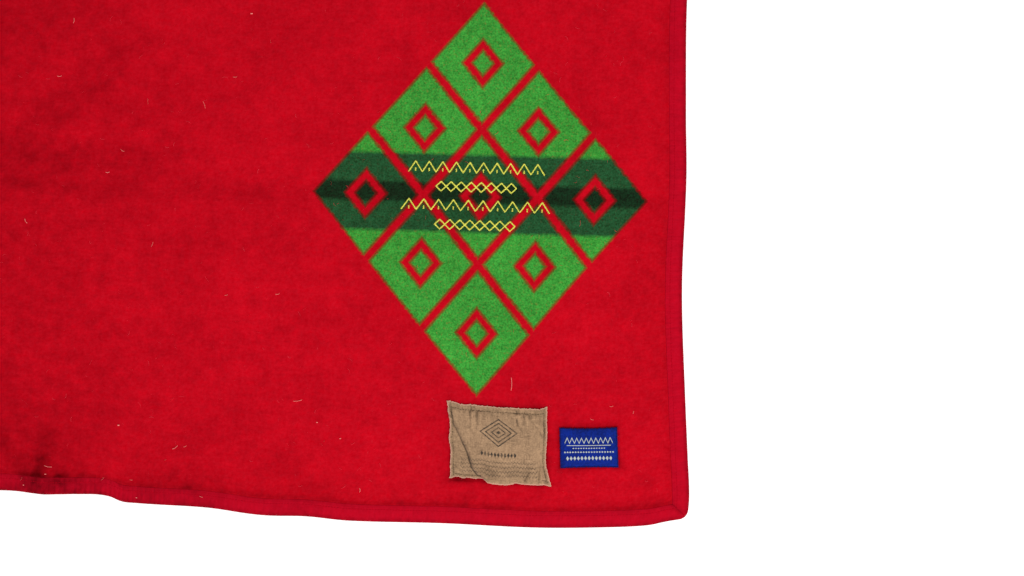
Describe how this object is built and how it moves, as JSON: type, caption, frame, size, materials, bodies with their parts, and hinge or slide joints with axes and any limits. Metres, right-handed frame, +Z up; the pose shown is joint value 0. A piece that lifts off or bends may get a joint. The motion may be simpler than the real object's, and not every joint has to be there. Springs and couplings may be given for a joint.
{
  "type": "wool blanket",
  "caption": "Rectangular double-woven wool blanket lying flat, with a folded wool tape binding, old storage creases, a woven motif and two sewn cloth labels at one corner.",
  "frame": {"origin": "under the middle of the laid blanket, on the surface that it lies on", "axes": "+X across the width towards the long side nearest the labels, +Y along the length away from the labels, +Z up"},
  "size_m": [1.6462, 2.0466, 0.0153],
  "materials": {
    "blanket_wool": "felted, napped red wool with green woven motif",
    "binding_tape": "flat red wool tape with a fine cross rib",
    "label_cotton": "plain woven tan cotton, puckered",
    "label_satin": "close woven blue label tape with a soft sheen"
  },
  "bodies": {
    "root": {"cloth": "blanket_wool", "binding_bottom": "binding_tape", "binding_right": "binding_tape", "binding_top": "binding_tape", "binding_left": "binding_tape", "label_care": "label_cotton", "label_woven": "label_satin"}
  },
  "joints": []
}
